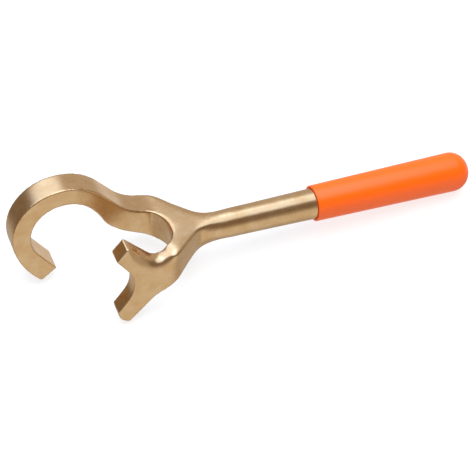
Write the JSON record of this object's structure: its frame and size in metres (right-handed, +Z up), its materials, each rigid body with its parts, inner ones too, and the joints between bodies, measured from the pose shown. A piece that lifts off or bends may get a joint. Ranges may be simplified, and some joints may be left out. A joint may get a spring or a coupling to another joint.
{
  "type": "hydrant wrench",
  "caption": "One-piece bronze hook wrench for hydrants and valve wheels: a C hook and a notched claw on a forked neck, round tapered shank, dipped vinyl grip.",
  "frame": {"origin": "middle of the footprint of the loose tool, on the surface it lies on", "axes": "+X along the handle from the hook to the grip's butt, +Z up from the surface, +Y towards the hook's side of the fork"},
  "size_m": [0.3938, 0.1014, 0.0903],
  "materials": {
    "bronze": "satin-brushed aluminium bronze, smoother on the shank",
    "orange_vinyl": "glossy dip-moulded soft vinyl"
  },
  "bodies": {
    "root": {"forged_wrench": "bronze", "vinyl_grip": "orange_vinyl"}
  },
  "joints": []
}
